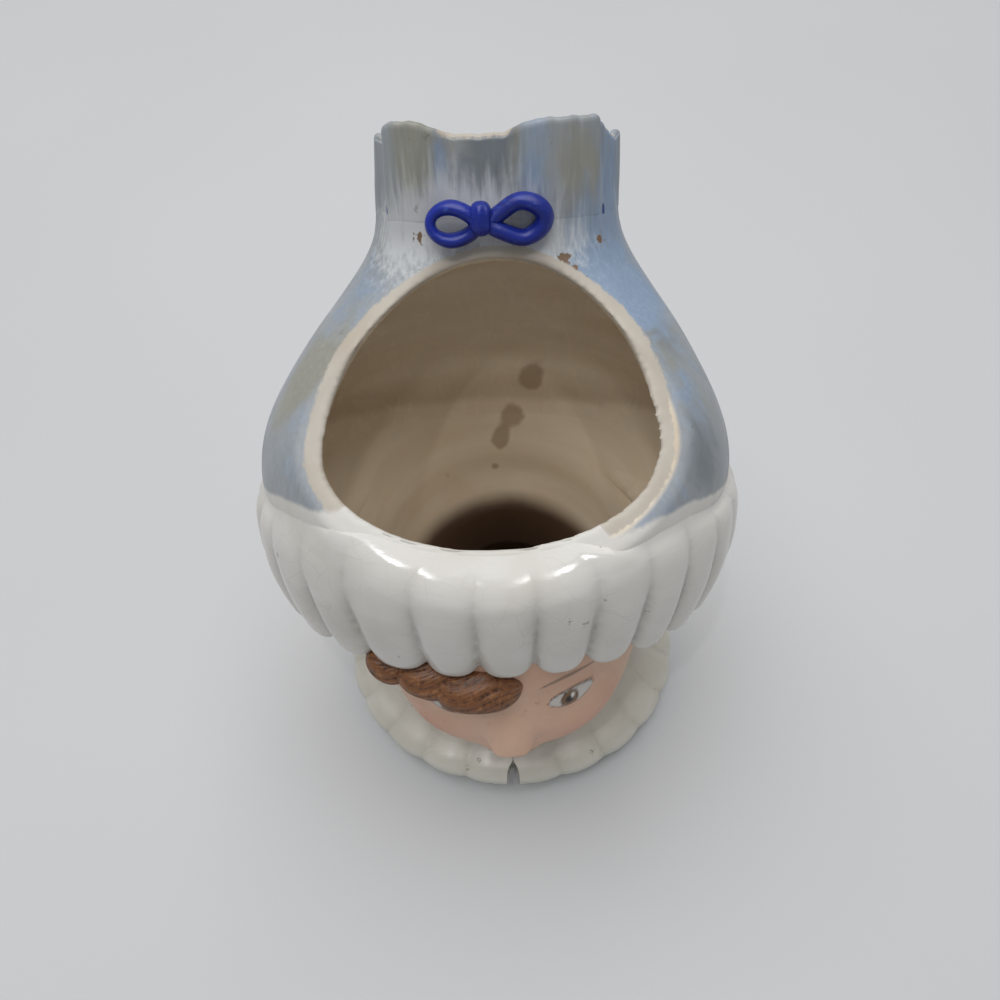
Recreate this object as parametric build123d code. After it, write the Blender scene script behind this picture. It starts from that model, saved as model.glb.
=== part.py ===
from build123d import *
import math
import os

# Slip-cast ceramic head planter: a child's head in a gathered cap, standing in a round collar.
# Millimetres, +Z up, face towards -Y, origin in the middle of the flat base.

# Ceramic walls
wall = 4.3
floor_thickness = 5.0
cut_reach = 200.0

# Bust: the flat-bottomed shoulder casting under the collar
base_half_width = 45.0
base_half_depth = 40.0
shoulder_half_width = 48.0
shoulder_half_depth = 42.5
foot_height = 5.0
shoulder_height = 13.0
neck_seam_height = 27.0
neck_half_width = 26.0
neck_half_depth = 26.0
neck_offset = 12.0

# Head sections below the cap: offset in Y, height, backward lean, half width, half depth
jaw_section = (3.0, 39.5, -8.0, 33.0, 36.5)
face_sections = (
    (0.0, 48.0, -6.0, 39.0, 42.5),
    (1.0, 60.0, 4.0, 42.0, 45.0),
    (5.5, 72.0, 15.0, 43.5, 45.0),
)

# Face relief on the head casting: half sizes and centres
nose_half_size = (5.5, 7.0, 9.5)
nose_center = (0.0, -41.0, 61.0)
nose_lean = -12.0
cheek_half_size = (16.0, 9.0, 14.0)
cheek_center = (18.5, -31.5, 53.5)
chin_half_size = (11.0, 7.5, 8.0)
chin_center = (0.0, -31.5, 38.0)

# Cap axis: the cap leans back on the head, and its own heights run along that lean
cap_offset = 8.0
cap_height = 86.0
cap_lean = 28.0
seam_half_width = 46.0
seam_half_depth = 46.0
waist_height = 80.0
waist_half_width = 31.0
waist_half_depth = 12.5
waist_offset = 19.5

# Crown sections: share of the way from the seam to the tie, and how far the sides, the front
# and the back stand outside the seam's own oval
crown_sections = (
    (0.125, 11.5, 0.7, 0.9),
    (0.25, 16.6, 0.5, 1.0),
    (0.375, 16.0, -0.5, 0.4),
    (0.5, 12.3, -3.5, -1.4),
    (0.625, 6.4, -13.0, -4.2),
    (0.725, 0.8, -25.5, -7.0),
    (0.8125, -4.9, -39.0, -9.4),
    (0.9, -10.6, -48.5, -11.9),
)
crown_swell = max(side_swell for share, side_swell, front_swell, back_swell in crown_sections)

# Planting mouth, cut flat across the front of the crown
mouth_front_inset = 3.0
mouth_front_offset = mouth_front_inset - seam_half_depth
mouth_front_height = 17.7
mouth_slope = 50.7
mouth_back_gap = 2.7
mouth_rise = waist_height - mouth_back_gap - mouth_front_height
mouth_length = mouth_rise / math.sin(math.radians(mouth_slope))
mouth_side_margin = 2.5
mouth_half_width = seam_half_width + mouth_side_margin
mouth_middle = 30.5
mouth_back_length = mouth_length - mouth_middle
rim_width = 4.5
throat_side_inset = 5.0
throat_half_width = seam_half_width - throat_side_inset
throat_middle = 27.0
throat_front_length = throat_middle - rim_width
throat_back_length = mouth_length - throat_middle - rim_width
throat_depth = 16.0

# Ribbed cuff round the cap, over the joint between the head and the crown
cuff_drop = 15.5
cuff_rise = 21.0
cuff_bulge_height = 9.0
cuff_thickness = 4.2
cuff_front_thickness = 5.0
cuff_half_width = seam_half_width + crown_swell + cuff_thickness
cuff_half_depth = seam_half_depth + cuff_front_thickness
cuff_hem_inset = 4.6
cuff_hem_turn = 3.0
cuff_roll_inset = 3.2
cuff_roll_height = 6.0
cuff_offset = 1.0
rib_count = 30
rib_depth = 1.6

# Gathered ruffle above the tie
ruffle_height = 23.0
ruffle_flare = 2.4
pleat_count = 5
pleat_depth = 4.2
pleat_points = 12
ruffle_wall = 3.6
ruffle_cup_depth = 12.0

# Bow on the front of the tie, seen along the cap's own axes
bow_rise = 4.0
bow_height = waist_height + bow_rise
bow_shift = -4.0
bow_thickness = 4.2
bow_sink = 9.0
left_loop_half_size = (7.6, 6.3)
left_hole_half_size = (4.2, 2.1)
left_loop_offset = 9.6
left_loop_turn = 2.0
right_loop_half_size = (8.6, 7.0)
right_hole_half_size = (5.4, 2.5)
right_loop_offset = 10.8
right_loop_turn = 8.0
knot_width = 6.4
knot_height = 9.5
knot_rise = 1.6

# Fringe locks on the forehead: place from the front of the seam, half sizes, turn in the forehead's plane
fringe_front = ((-5.5, 0.5, -1.7), (12.0, 8.0, 6.6), 9.0)
fringe_middle = ((-20.5, 3.5, -1.4), (9.5, 7.5, 6.4), 16.0)
fringe_side = ((-31.5, 8.0, -2.2), (7.5, 7.0, 6.2), 24.0)

# Collar: two halves that meet behind and part at the front
collar_overhang = 10.5
collar_front_overhang = 7.5
collar_half_width = shoulder_half_width + collar_overhang
collar_half_depth = shoulder_half_depth + collar_front_overhang
collar_lip_height = 10.0
collar_underside = 7.0
collar_band = 3.2
collar_hollow = 1.25
collar_lip_turn = 1.8
collar_roll_height = 3.0
collar_lobe_count = 14
collar_lobe_depth = 1.3
collar_notch_half_width = 5.0
collar_notch_length = 10.0


def tilted_plane(offset, height, lean):
    """Plane across the object, leaning back by `lean` degrees."""
    angle = math.radians(lean)
    return Plane(
        origin=(0, offset, height),
        x_dir=(1, 0, 0),
        z_dir=(0, math.sin(angle), math.cos(angle)),
    )


cap_plane = tilted_plane(cap_offset, cap_height, cap_lean)


def cap_level(height, offset=0.0):
    """Plane across the cap at a height along its own axis, shifted back by `offset`."""
    return Plane(cap_plane.location * Pos(0, offset, height))


def oval(plane, half_width, half_depth):
    return plane * Ellipse(half_width, half_depth)


def ellipsoid(half_size, center, lean=0.0, roll=0.0):
    ball = scale(Sphere(1.0), by=half_size)
    return Pos(*center) * Rot(lean, roll, 0) * ball


def scalloped(plane, half_width, half_depth, count, depth):
    """Oval face whose edge is `count` outward arcs with cusps `depth` deep between them."""
    arcs = []
    for index in range(count):
        points = []
        for part, inset in ((0.0, depth), (0.5, 0.0), (1.0, depth)):
            angle = 2 * math.pi * (index + part) / count - math.pi / 2
            across = (half_width - inset) * math.cos(angle)
            along = (half_depth - inset) * math.sin(angle)
            points.append((across, along))
        arcs.append(ThreePointArc(*points))
    return plane * make_face(arcs)


# The joined head and crown are one smooth skin, drawn once for the outside and once for the inside.
def skin(inset):
    """Solid inside the head and cap, `inset` below the outer surface."""
    neck_plane = tilted_plane(neck_offset, neck_seam_height, 0)
    neck = oval(neck_plane, neck_half_width - inset, neck_half_depth - inset)
    offset, height, lean, half_width, half_depth = jaw_section
    jaw_plane = tilted_plane(offset, height + inset, lean)
    jaw = oval(jaw_plane, half_width - inset, half_depth - inset)
    sections = [jaw]
    for offset, height, lean, half_width, half_depth in face_sections:
        plane = tilted_plane(offset, height, lean)
        sections.append(oval(plane, half_width - inset, half_depth - inset))
    sections.append(oval(cap_level(0), seam_half_width - inset, seam_half_depth - inset))
    for share, side_swell, front_swell, back_swell in crown_sections:
        plane = cap_level(share * waist_height, (back_swell - front_swell) / 2)
        half_width = seam_half_width + side_swell
        half_depth = seam_half_depth + (front_swell + back_swell) / 2
        sections.append(oval(plane, half_width - inset, half_depth - inset))
    tie_plane = cap_level(waist_height, waist_offset)
    sections.append(oval(tie_plane, waist_half_width - inset, waist_half_depth - inset))
    return loft(sections) + loft([neck, jaw], ruled=True)


# Planting mouth: a flat sloping cut across the crown, and a shaft that keeps its rim even
mouth_plane = Plane(
    cap_level(mouth_front_height, mouth_front_offset).location * Rot(mouth_slope, 0, 0)
)


def make_mouth_cut():
    rounded = Pos(0, mouth_middle) * Ellipse(mouth_half_width, mouth_back_length)
    front_width = 2 * cuff_half_width + 2 * wall
    front = Pos(0, mouth_middle - mouth_back_length) * Rectangle(front_width, 2 * mouth_back_length)
    return extrude(mouth_plane * (rounded + front), cut_reach)


def make_throat_cut():
    front_half = split(
        Pos(0, throat_middle) * Ellipse(throat_half_width, throat_front_length),
        bisect_by=Plane.XZ.offset(-throat_middle),
        keep=Keep.TOP,
    )
    back_half = split(
        Pos(0, throat_middle) * Ellipse(throat_half_width, throat_back_length),
        bisect_by=Plane.XZ.offset(-throat_middle),
        keep=Keep.BOTTOM,
    )
    return extrude(mouth_plane * (front_half + back_half), -throat_depth)


outer_skin = skin(0.0)
inner_skin = skin(wall)
mouth_cut = make_mouth_cut()
throat_cut = make_throat_cut()


# Bust
def make_bust_outside():
    neck_plane = tilted_plane(neck_offset, neck_seam_height, 0)
    sections = [
        oval(Plane.XY, base_half_width, base_half_depth),
        oval(tilted_plane(0, foot_height, 0), shoulder_half_width, shoulder_half_depth),
        oval(tilted_plane(0, shoulder_height, 0), shoulder_half_width, shoulder_half_depth),
        oval(neck_plane, neck_half_width, neck_half_depth),
    ]
    return loft(sections, ruled=True)


def make_bust_hollow():
    floor_plane = tilted_plane(0, floor_thickness, 0)
    shoulder_plane = tilted_plane(0, shoulder_height, 0)
    neck_plane = tilted_plane(neck_offset, neck_seam_height, 0)
    sections = [
        oval(floor_plane, base_half_width - wall, base_half_depth - wall),
        oval(shoulder_plane, shoulder_half_width - wall, shoulder_half_depth - wall),
        oval(neck_plane, neck_half_width - wall, neck_half_depth - wall),
    ]
    return loft(sections, ruled=True)


bust_outside = make_bust_outside()
bust_base = bust_outside - make_bust_hollow()


# Head casting with its face, up to the seam with the cap
def make_head_outside():
    side, front, height = cheek_center
    forms = [
        ellipsoid(nose_half_size, nose_center, lean=nose_lean),
        ellipsoid(chin_half_size, chin_center),
        ellipsoid(cheek_half_size, (-side, front, height)),
        ellipsoid(cheek_half_size, (side, front, height)),
    ]
    below_cap = split(outer_skin, bisect_by=cap_level(0), keep=Keep.BOTTOM)
    return below_cap + forms


head_outside = make_head_outside()
head_shell = head_outside - inner_skin
cap_shell = split(outer_skin - inner_skin, bisect_by=cap_level(0), keep=Keep.TOP)
hat_crown = cap_shell - mouth_cut - throat_cut


# Ribbed cuff
def make_cuff_outside():
    hem = -cuff_drop
    levels = [
        (hem - cuff_hem_turn, cuff_hem_inset + cuff_hem_turn, rib_depth),
        (hem, cuff_hem_inset, rib_depth),
        (hem / 2, cuff_hem_inset / 3, rib_depth),
        (cuff_bulge_height, 0.0, rib_depth / 2),
        (cuff_rise - cuff_roll_height, cuff_roll_inset / 4, 0.0),
        (cuff_rise, cuff_roll_inset, 0.0),
    ]
    sections = []
    for height, inset, depth in levels:
        plane = cap_level(height, cuff_offset)
        sections.append(
            scalloped(plane, cuff_half_width - inset, cuff_half_depth - inset, rib_count, depth)
        )
    return loft(sections)


cuff_outside = make_cuff_outside()
hat_cuff = cuff_outside - outer_skin - mouth_cut


# Gathered ruffle above the tie
def pleated(height, flare, depth, inset):
    points = []
    count = pleat_count * pleat_points
    for index in range(count):
        angle = 2 * math.pi * index / count
        wave = depth * (0.5 + 0.5 * math.cos(pleat_count * (angle + math.pi / 2)))
        across = (waist_half_width + flare - inset - wave) * math.cos(angle)
        along = (waist_half_depth + flare - inset - wave) * math.sin(angle)
        points.append((across, along))
    return cap_level(height, waist_offset) * make_face(Spline(points, periodic=True))


ruffle_top = waist_height + ruffle_height
waist_plane = cap_level(waist_height, waist_offset)
ruffle_outside = loft(
    [
        oval(waist_plane, waist_half_width, waist_half_depth),
        pleated(waist_height + ruffle_height / 2, ruffle_flare / 3, pleat_depth, 0.0),
        pleated(ruffle_top, ruffle_flare, pleat_depth, 0.0),
    ]
)
ruffle_cup = loft(
    [
        pleated(ruffle_top - ruffle_cup_depth, ruffle_flare / 2, pleat_depth, ruffle_wall),
        pleated(ruffle_top, ruffle_flare, pleat_depth, ruffle_wall),
    ]
)
ruffle_throat = extrude(
    oval(waist_plane, waist_half_width - wall, waist_half_depth - wall),
    ruffle_height - ruffle_cup_depth - wall,
)
cap_ruffle = ruffle_outside - ruffle_cup - ruffle_throat


# Bow, drawn face-on in a plane just in front of the tie
bow_place = Pos(bow_shift, waist_offset - waist_half_depth - bow_thickness, bow_height)
bow_face = Plane(cap_plane.location * bow_place * Rot(90, 0, 0))


def ribbon_loop(half_size, hole_half_size, offset, turn):
    """Flat ring of ribbon whose middle stands `offset` from the knot, towards `turn`."""
    ring = Ellipse(*half_size) - Ellipse(*hole_half_size)
    return extrude(bow_face * (Rot(0, 0, turn) * Pos(offset, 0) * ring), -(bow_thickness + bow_sink))


knot_face = RectangleRounded(knot_width, knot_height, knot_width / 2.5)
knot_blank = extrude(
    bow_face.offset(knot_rise) * knot_face, -(knot_rise + bow_thickness + bow_sink)
)
bow_knot = knot_blank - outer_skin - ruffle_outside
left_blank = ribbon_loop(
    left_loop_half_size, left_hole_half_size, left_loop_offset, 180.0 - left_loop_turn
)
right_blank = ribbon_loop(
    right_loop_half_size, right_hole_half_size, right_loop_offset, right_loop_turn
)
bow_left_loop = left_blank - outer_skin - ruffle_outside - knot_blank
bow_right_loop = right_blank - outer_skin - ruffle_outside - knot_blank


# Fringe locks, each tucked under the cuff and lapped over the one beside it
def lock(place, half_size, turn):
    across, forward, up = place
    center = (across, cap_offset - seam_half_depth + forward, cap_height + up)
    return ellipsoid(half_size, center, roll=turn)


front_blank = lock(*fringe_front)
middle_blank = lock(*fringe_middle)
side_blank = lock(*fringe_side)
fringe_lock_front = front_blank - head_outside - cuff_outside
fringe_lock_middle = middle_blank - head_outside - cuff_outside - front_blank
fringe_lock_side = side_blank - head_outside - cuff_outside - front_blank - middle_blank


# Collar halves, each a half ring between its scalloped outside and the shoulders it lies on
def collar_section(height, offset, half_width, half_depth, lobe_depth):
    seat_share = max(0.0, (height - shoulder_height) / (neck_seam_height - shoulder_height))
    seat_width = shoulder_half_width + (neck_half_width - shoulder_half_width) * seat_share
    seat_depth = shoulder_half_depth + (neck_half_depth - shoulder_half_depth) * seat_share
    seat_center = (0, neck_offset * seat_share)
    seat = EllipticalCenterArc(seat_center, seat_width, seat_depth, start_angle=-90, arc_size=180)
    lobes = []
    for index in range(collar_lobe_count):
        points = []
        for part, inset in ((0.0, lobe_depth), (0.5, 0.0), (1.0, lobe_depth)):
            angle = math.pi * (index + part) / collar_lobe_count - math.pi / 2
            across = (half_width - inset) * math.cos(angle)
            along = offset + (half_depth - inset) * math.sin(angle)
            points.append((across, along))
        lobes.append(ThreePointArc(*points))
    back = Line(lobes[-1] @ 1, seat @ 1)
    front = Line(seat @ 0, lobes[0] @ 0)
    return tilted_plane(0, height, 0) * make_face(lobes + [back, seat, front])


def make_collar_half():
    lip_width = collar_half_width - collar_lip_turn
    lip_depth = collar_half_depth - collar_lip_turn
    top_width = neck_half_width + collar_band
    top_depth = neck_half_depth + collar_band
    rim_height = shoulder_height + collar_roll_height
    sections = [
        collar_section(collar_underside, 0, lip_width, lip_depth, collar_lobe_depth),
        collar_section(collar_lip_height, 0, collar_half_width, collar_half_depth, collar_lobe_depth),
        collar_section(shoulder_height, 0, collar_half_width, collar_half_depth, collar_lobe_depth),
        collar_section(rim_height, 0, lip_width, lip_depth, collar_lobe_depth / 2),
    ]
    for share in (0.35, 0.7, 1.0):
        height = rim_height + (neck_seam_height - rim_height) * share ** collar_hollow
        half_width = lip_width + (top_width - lip_width) * share
        half_depth = lip_depth + (top_depth - lip_depth) * share
        sections.append(collar_section(height, neck_offset * share, half_width, half_depth, 0))
    return loft(sections, ruled=True)


collar_notch = Pos(0, -collar_half_depth) * Ellipse(collar_notch_half_width, collar_notch_length)
collar_right = make_collar_half() - extrude(collar_notch, neck_seam_height)
collar_left = mirror(collar_right, about=Plane.YZ)

pieces = {
    "bust_base": bust_base,
    "head_shell": head_shell,
    "collar_left": collar_left,
    "collar_right": collar_right,
    "hat_crown": hat_crown,
    "hat_cuff": hat_cuff,
    "cap_ruffle": cap_ruffle,
    "bow_left_loop": bow_left_loop,
    "bow_right_loop": bow_right_loop,
    "bow_knot": bow_knot,
    "fringe_lock_side": fringe_lock_side,
    "fringe_lock_middle": fringe_lock_middle,
    "fringe_lock_front": fringe_lock_front,
}
os.makedirs("parts", exist_ok=True)
for name, shape in pieces.items():
    export_step(shape, f"parts/{name}.step")
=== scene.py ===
import bpy
import bmesh
import math
import numpy as np
from mathutils import Matrix, Vector


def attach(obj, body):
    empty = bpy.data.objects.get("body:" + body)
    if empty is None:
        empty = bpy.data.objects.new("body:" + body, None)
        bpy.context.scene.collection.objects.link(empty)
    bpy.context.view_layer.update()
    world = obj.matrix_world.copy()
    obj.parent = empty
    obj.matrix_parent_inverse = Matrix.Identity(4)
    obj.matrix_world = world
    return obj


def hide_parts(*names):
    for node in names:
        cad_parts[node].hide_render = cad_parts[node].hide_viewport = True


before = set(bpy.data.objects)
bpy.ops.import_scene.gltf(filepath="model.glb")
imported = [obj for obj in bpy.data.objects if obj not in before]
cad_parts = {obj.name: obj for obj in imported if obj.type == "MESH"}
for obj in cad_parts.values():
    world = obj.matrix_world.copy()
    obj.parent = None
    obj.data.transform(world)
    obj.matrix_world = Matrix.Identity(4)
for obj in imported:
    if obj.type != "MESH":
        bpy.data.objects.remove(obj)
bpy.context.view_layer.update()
scene = bpy.context.scene
scene.view_settings.view_transform = "Standard"
mm = 0.001

# camera, fitted to the outlines of the cuff, rim, tie and collar
cameraView = {"azimuth": 2.34, "elevation": 59.81, "roll": -3.42,
              "place": (3.02, -96.0, 281.09), "focalPixels": 760.0}


def addCamera(view):
    azimuth, elevation, roll = (math.radians(view[k]) for k in ("azimuth", "elevation", "roll"))
    level = math.cos(elevation)
    back = Vector((math.sin(azimuth) * level, -math.cos(azimuth) * level, math.sin(elevation)))
    right = Vector((math.cos(azimuth), math.sin(azimuth), 0.0))
    up = back.cross(right)
    turnedRight = math.cos(roll) * right + math.sin(roll) * up
    turnedUp = -math.sin(roll) * right + math.cos(roll) * up
    data = bpy.data.cameras.new("photoCamera")
    sensorWidth, photoWidth = 36.0, 1000.0
    data.sensor_width = sensorWidth
    data.lens = view["focalPixels"] / photoWidth * sensorWidth
    data.clip_start = 0.01
    camera = bpy.data.objects.new("photoCamera", data)
    axes = Matrix((turnedRight, turnedUp, back)).transposed().to_4x4()
    camera.matrix_world = Matrix.Translation(Vector(view["place"]) * mm) @ axes
    scene.collection.objects.link(camera)
    scene.camera = camera


addCamera(cameraView)

# cap axes: u across, v back along the cap's levels, w up along its lean
capAxes = {"offset": 8.0, "height": 86.0, "lean": 28.0}
leanSin = math.sin(math.radians(capAxes["lean"]))
leanCos = math.cos(math.radians(capAxes["lean"]))


def capPoint(u, v, w):
    u, v, w = np.broadcast_arrays(np.asarray(u, float), np.asarray(v, float), np.asarray(w, float))
    y = capAxes["offset"] + v * leanCos + w * leanSin
    z = capAxes["height"] - v * leanSin + w * leanCos
    return np.stack([u, y, z], -1)


def toCap(points):
    y = points[..., 1] - capAxes["offset"]
    z = points[..., 2] - capAxes["height"]
    return points[..., 0], y * leanCos - z * leanSin, y * leanSin + z * leanCos


def smoothstep(low, high, x):
    t = np.clip((np.asarray(x, float) - low) / (high - low), 0.0, 1.0)
    return t * t * (3.0 - 2.0 * t)


def bump(x, center, spread):
    return np.exp(-0.5 * ((np.asarray(x, float) - center) / spread) ** 2)


def curveThrough(xs, ys, x):
    # smooth curve through a table, with slopes taken from the neighbours
    xs, ys, x = np.asarray(xs, float), np.asarray(ys, float), np.asarray(x, float)
    slopes = np.gradient(ys, xs)
    i = np.clip(np.searchsorted(xs, x, side="right") - 1, 0, len(xs) - 2)
    span = xs[i + 1] - xs[i]
    t = np.clip((x - xs[i]) / span, 0.0, 1.0)
    h00 = 2 * t ** 3 - 3 * t ** 2 + 1
    h10 = t ** 3 - 2 * t ** 2 + t
    h01 = -2 * t ** 3 + 3 * t ** 2
    h11 = t ** 3 - t ** 2
    return h00 * ys[i] + h10 * span * slopes[i] + h01 * ys[i + 1] + h11 * span * slopes[i + 1]


def gridFaces(rows, cols, closeRows):
    # quads round each row; an open tube gets a lid at both ends
    faces = []
    for r in range(rows if closeRows else rows - 1):
        here, after = r * cols, (r + 1) % rows * cols
        for c in range(cols):
            c2 = (c + 1) % cols
            faces.append((here + c, here + c2, after + c2, after + c))
    if not closeRows:
        faces += [tuple(range(cols))[::-1], tuple(range((rows - 1) * cols, rows * cols))]
    return faces


def addMesh(name, points, faces, smooth=True):
    mesh = bpy.data.meshes.new(name)
    mesh.from_pydata([tuple(p) for p in np.asarray(points).reshape(-1, 3) * mm], [], faces)
    mesh.validate()
    obj = bpy.data.objects.new(name, mesh)
    scene.collection.objects.link(obj)
    turnOutwards(obj)
    if smooth:
        mesh.polygons.foreach_set("use_smooth", [True] * len(mesh.polygons))
    return obj


def addGrid(name, rows, closeRows=False):
    grid = np.array(rows)
    return addMesh(name, grid, gridFaces(grid.shape[0], grid.shape[1], closeRows))


def turnOutwards(obj):
    work = bmesh.new()
    work.from_mesh(obj.data)
    bmesh.ops.recalc_face_normals(work, faces=work.faces)
    if work.calc_volume(signed=True) < 0:
        bmesh.ops.reverse_faces(work, faces=work.faces)
    work.to_mesh(obj.data)
    work.free()


def applyModifiers(obj):
    depsgraph = bpy.context.evaluated_depsgraph_get()
    mesh = bpy.data.meshes.new_from_object(obj.evaluated_get(depsgraph))
    obj.modifiers.clear()
    old = obj.data
    obj.data = mesh
    bpy.data.meshes.remove(old)
    obj.data.polygons.foreach_set("use_smooth", [True] * len(obj.data.polygons))


def points(obj):
    flat = np.empty(len(obj.data.vertices) * 3)
    obj.data.vertices.foreach_get("co", flat)
    return flat.reshape(-1, 3) / mm


def setValue(obj, name, values):
    layer = obj.data.attributes.new(name, "FLOAT", "POINT")
    layer.data.foreach_set("value", np.asarray(values, float).ravel())


def setColor(obj, name, values):
    layer = obj.data.attributes.new(name, "FLOAT_COLOR", "POINT")
    layer.data.foreach_set("color", np.asarray(values, float).ravel())


def runTree(obj, tree, values):
    modifier = obj.modifiers.new(tree.name, "NODES")
    modifier.node_group = tree
    for item in tree.interface.items_tree:
        if item.in_out == "INPUT" and item.name in values:
            modifier[item.identifier] = values[item.name]
    applyModifiers(obj)


def place(obj, slot, material, *nodes):
    obj.data.materials.clear()
    obj.data.materials.append(material)
    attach(obj, "root")
    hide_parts(*nodes)
    print("placed", obj.name, len(obj.data.polygons), "faces")


# the cap's skin, level by level: height, half width, front, back
crownTable = [
    (-6.0, 44.6, -44.0, 47.4), (0.0, 46.0, -46.0, 46.0), (10.0, 57.5, -46.7, 46.9),
    (20.0, 62.6, -46.5, 47.0), (30.0, 62.0, -45.5, 46.4), (40.0, 58.3, -42.5, 44.6),
    (50.0, 52.4, -33.0, 41.8), (58.0, 46.8, -20.5, 39.0), (65.0, 41.1, -7.0, 36.6),
    (70.0, 37.2, 0.4, 34.8), (74.0, 34.5, 4.1, 33.5), (78.0, 32.5, 6.2, 32.6),
    (82.0, 31.4, 7.1, 32.0), (88.0, 30.9, 7.4, 31.6)]
wall = 4.3
tie = {"height": 80.0, "halfWidth": 31.0, "halfDepth": 12.5, "offset": 19.5}
# creases of the gathers round the tie, degrees from the front, and how far each panel after them stands out
gathers = {"creases": [-62.0, -29.0, 11.0, 56.0, 96.0, 128.0, 162.0, 196.0, 232.0, 266.0],
           "panels": [1.0, -1.0, 1.0, -0.7, 0.8, -0.8, 0.9, -0.9, 0.8, -1.15],
           "softness": 8.0, "low": 0.85, "high": 0.95}


# the hand-made bulge stands a little to the left of the tie and the bust
bulgeShift = -2.4


def shiftAt(w):
    return bulgeShift * smoothstep(80.0, 35.0, w)


def crownLevel(w):
    heights, widths, fronts, backs = zip(*crownTable)
    return curveThrough(heights, widths, w), curveThrough(heights, fronts, w), curveThrough(heights, backs, w)


def gatherWave(angle):
    # angle in degrees from the front; each panel is a flat step with soft flanks
    angle = np.asarray(angle, float)
    total = np.zeros_like(angle)
    creases, soft = gathers["creases"], gathers["softness"]
    ends = creases[1:] + [creases[0] + 360.0]
    for turn in (-360.0, 0.0, 360.0):
        for crease, nextCrease, panel in zip(creases, ends, gathers["panels"]):
            start, end = crease + turn, nextCrease + turn
            rise = smoothstep(start - soft, start + soft, angle) - smoothstep(end - soft, end + soft, angle)
            dome = 0.75 + 0.25 * np.cos((angle - (start + end) / 2) / (end - start) * math.pi)
            total = total + panel * rise * dome
    return total


def crownRing(angle, w, inset):
    width, front, back = crownLevel(w)
    middle, depth = (front + back) / 2, (back - front) / 2
    strength = gathers["low"] * smoothstep(50.0, 80.0, w) + gathers["high"] * smoothstep(78.0, 92.0, w)
    fold = gatherWave(np.degrees(angle) + 90.0) * strength
    across, along = width - inset + fold, depth - inset + fold
    return capPoint(across * np.cos(angle) + shiftAt(w), middle + along * np.sin(angle), w)


# hand-painted places on the cap: where in millimetres, how far across and up the cap, how strong
paint = {
    "sky": [((25, 46, 146), (11, 14), 1.0), ((36, 39, 141), (8, 10), 0.7), ((45, 16, 135), (6, 9), 0.6),
            ((34, -11, 126), (8, 7), 0.6), ((-36, 46, 141), (6, 12), 0.7), ((-52, 9, 132), (5, 9), 0.25),
            ((-46, -4, 129), (6, 7), 0.15), ((-13, 61, 165), (1.4, 9), 1.1), ((9, 58, 165), (2.6, 10), 0.7),
            ((28, 64, 158), (3.5, 11), 0.9), ((0, 90, 125), (14, 20), 0.6)],
    "olive": [((-42, 33, 139), (8, 16), 0.9), ((-49, 21, 136), (6, 9), 0.7), ((-18, 63, 170), (4, 8), 1.1),
              ((1, 63, 170), (6, 5), 1.1), ((41, 31, 139), (6, 7), 0.8), ((20, 62, 168), (6, 9), 0.6),
              ((-30, 85, 120), (12, 20), 0.7)],
    "slate": [((49, 5, 128), (7, 12), 0.8), ((41, 31, 139), (5, 6), 0.6), ((0, 62, 168), (6, 9), 0.9),
              ((30, 66, 160), (4, 12), 0.5)],
    "bare": [((-24, 53, 151), (8, 7), 0.7), ((-4, 56, 157), (15, 7), 0.9), ((11, 50, 151), (9, 5), 0.6),
             ((-14, 60, 160), (3, 8), 0.5)],
    "chips": [((25.5, 54.4, 150.2), (1.0, 1.6), 0.9), ((16, 48.4, 149.7), (1.3, 1.6), 0.8),
              ((18.2, 45.6, 147.7), (1.4, 1.8), 0.9), ((20.1, 43.6, 145.6), (1.1, 1.4), 1.0),
              ((23.9, 41.3, 145.1), (0.8, 0.8), 0.7), ((-18.8, 53.3, 152.9), (1.2, 1.6), 0.6),
              ((-11.0, 63.5, 172.5), (0.9, 1.8), 1.0), ((-38.8, -10.5, 126.5), (1.8, 1.2), 0.7)],
    "marks": [((-27.1, 59.8, 156.3), (0.7, 1.2), 1.0), ((26.3, 59.7, 154.6), (0.7, 1.2), 1.0)],
    "stains": [((8.5, 58.2, 92.2), (3.6, 3.8), 0.9), ((2.5, 53.0, 79.9), (3.8, 4.0), 0.85),
               ((-1.7, 48.5, 72.3), (2.6, 3.4), 0.95), ((-3.7, 45.0, 62.4), (1.6, 1.6), 0.75),
               ((-19.9, 40.5, 64.0), (2.4, 2.4), 0.55), ((13, 60.7, 102.4), (5, 6), 0.45)]}


def setPaint(obj, *kinds):
    u, v, w = toCap(points(obj))
    for kind in kinds or paint:
        total = np.zeros_like(u)
        for where, (across, along), strength in paint[kind]:
            u0, v0, w0 = toCap(np.array(where, float))
            apart = ((u - u0) ** 2 + (v - v0) ** 2) / across ** 2 + (w - w0) ** 2 / along ** 2
            total += strength * np.exp(-0.5 * apart)
        setValue(obj, kind, total)


# planting mouth: s runs up the sloping cut from its front edge, n stands off it
mouth = {"front": -43.0, "height": 17.7, "slope": 50.7, "halfWidth": 48.5, "backLength": 48.3, "middle": 30.5,
         "throatHalfWidth": 39.1, "throatShift": -0.7, "throatFront": 22.5, "throatBack": 49.2,
         "throatMiddle": 27.0, "throatDepth": 16.0}
slopeSin = math.sin(math.radians(mouth["slope"]))
slopeCos = math.cos(math.radians(mouth["slope"]))


def mouthPoint(u, s, n):
    rise = mouth["height"] + s * slopeSin
    return capPoint(u + shiftAt(rise), mouth["front"] + s * slopeCos - n * slopeSin, rise + n * slopeCos)


def toMouth(spots):
    u, v, w = toCap(spots)
    v, w = v - mouth["front"], w - mouth["height"]
    return u, v * slopeCos + w * slopeSin, w * slopeCos - v * slopeSin


def cutLevel(v):
    # height on the cap at which the mouth's flat cut passes
    return mouth["height"] + (v - mouth["front"]) * slopeSin / slopeCos


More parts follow.
